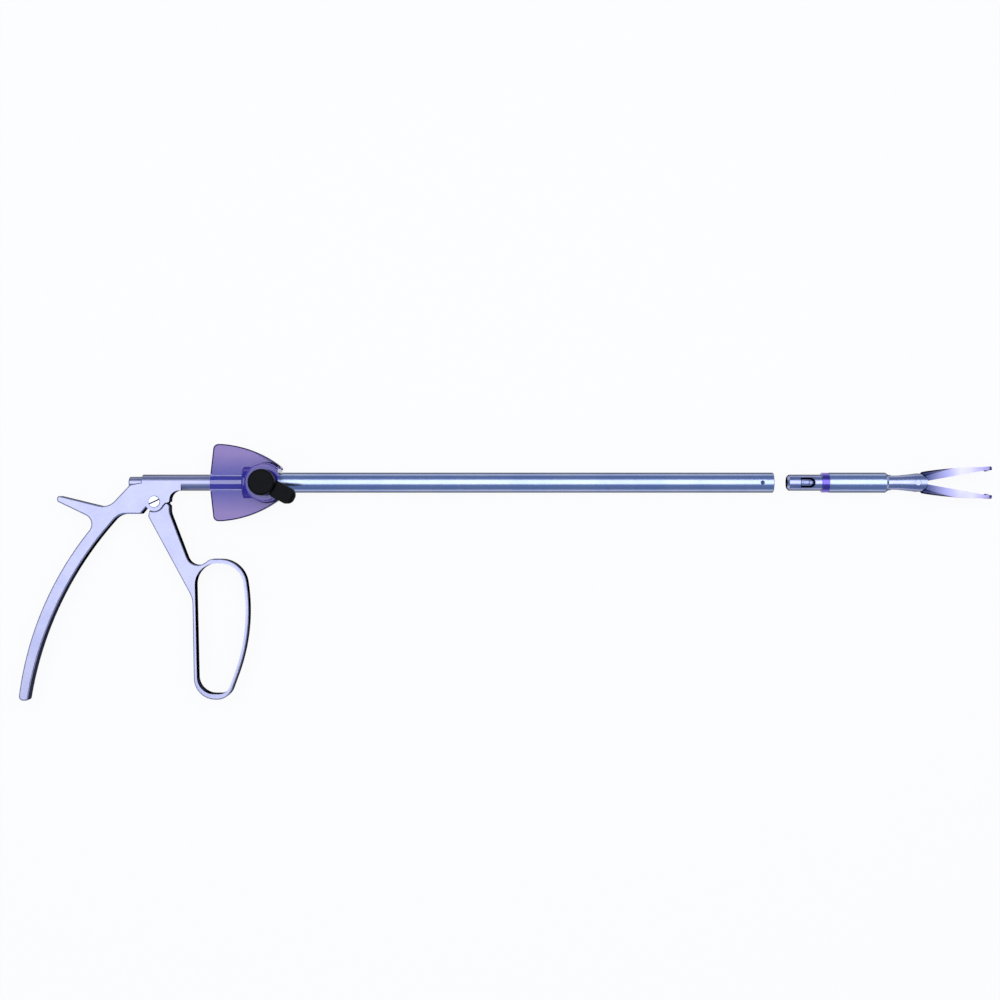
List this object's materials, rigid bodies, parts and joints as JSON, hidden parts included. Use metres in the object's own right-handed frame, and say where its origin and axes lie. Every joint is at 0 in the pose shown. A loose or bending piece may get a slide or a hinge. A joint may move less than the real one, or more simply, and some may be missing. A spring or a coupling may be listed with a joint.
{
  "type": "laparoscopic clip applier",
  "caption": "Hand-held endoscopic clip applier: looped finger lever, winged rotation knob, long straight shaft and a detachable tip with two hooked jaws.",
  "frame": {"origin": "on the shaft axis, level with the front of the rotation knob", "axes": "+X along the shaft towards the jaws, +Y towards the top of the handle, +Z square to the handle plate towards the flushing port"},
  "size_m": [0.4849, 0.1279, 0.0313],
  "materials": {
    "steel_casting": "satin investment casting",
    "steel_tube": "polished drawn tube",
    "steel_tip": "satin machined",
    "steel_bright": "polished",
    "knob_plastic": "translucent purple moulding",
    "black_rubber": "matte silicone",
    "seal_rubber": "matte",
    "ring_purple": "coloured ring",
    "guide_polymer": "sliding polymer"
  },
  "bodies": {
    "handle": {"handle_body": "steel_casting", "rear_plug": "steel_bright", "pivot_screw": "steel_bright", "rod_seal": "seal_rubber", "swivel_ring": "steel_bright"},
    "lever": {"finger_lever": "steel_casting"},
    "rod": {"drive_block": "steel_bright", "link_pin": "steel_bright", "drive_rod": "steel_bright"},
    "shaft": {"outer_tube": "steel_tube", "knob_core": "steel_bright", "rotation_knob": "knob_plastic", "flush_port": "steel_bright", "rod_guide_1": "guide_polymer", "rod_guide_2": "guide_polymer", "cap_strap": "black_rubber"},
    "cap": {"port_cap": "black_rubber"},
    "tip": {"tip_body": "steel_tip", "color_ring": "ring_purple", "tip_sleeve": "steel_tube", "jaw_pin": "steel_bright"},
    "latch": {"latch_tongue": "steel_tip"},
    "pusher": {"pusher": "steel_bright", "cam_pin": "steel_bright"},
    "upper_jaw": {"jaw_upper": "steel_tip"},
    "lower_jaw": {"jaw_lower": "steel_tip"}
  },
  "joints": [
    {"name": "finger_lever", "type": "hinge", "parent": "handle", "child": "lever", "pos_m": [-0.0641, -0.0095, 0], "axis": [0, 0, -1], "range_deg": [0, 18], "stiffness_Nm_per_rad": 0.25, "springref_deg": -20.05},
    {"name": "rod_slide", "type": "slide", "parent": "handle", "child": "rod", "axis": [1, 0, 0], "range_m": [0, 0.00301]},
    {"name": "shaft_turn", "type": "hinge", "parent": "handle", "child": "shaft", "pos_m": [0, 0, 0], "axis": [1, 0, 0], "continuous": true},
    {"name": "cap_pull", "type": "slide", "parent": "shaft", "child": "cap", "axis": [0, 0, 1], "range_m": [0, 0.009], "deforming": ["cap_strap"]},
    {"name": "tip_dock", "type": "slide", "parent": "shaft", "child": "tip", "axis": [-1, 0, 0], "range_m": [0, 0.024]},
    {"name": "latch_spring", "type": "hinge", "parent": "tip", "child": "latch", "pos_m": [0.25775, 0, 0.00255], "axis": [0, -1, 0], "range_deg": [0, 12]},
    {"name": "pusher_slide", "type": "slide", "parent": "tip", "child": "pusher", "axis": [1, 0, 0], "range_m": [0, 0.00301]},
    {"name": "jaw_upper_swing", "type": "hinge", "parent": "tip", "child": "upper_jaw", "pos_m": [0.316, 0, 0], "axis": [0, 0, -1], "range_deg": [0, 9]},
    {"name": "jaw_lower_swing", "type": "hinge", "parent": "tip", "child": "lower_jaw", "pos_m": [0.316, 0, 0], "axis": [0, 0, 1], "range_deg": [0, 9]}
  ],
  "couplings": [
    {"joint": "rod_slide", "follows": "finger_lever", "m_per_rad": 0.0095789},
    {"joint": "pusher_slide", "follows": "finger_lever", "m_per_rad": 0.0095789},
    {"joint": "jaw_upper_swing", "follows": "finger_lever", "ratio": 0.5},
    {"joint": "jaw_lower_swing", "follows": "finger_lever", "ratio": 0.5}
  ]
}
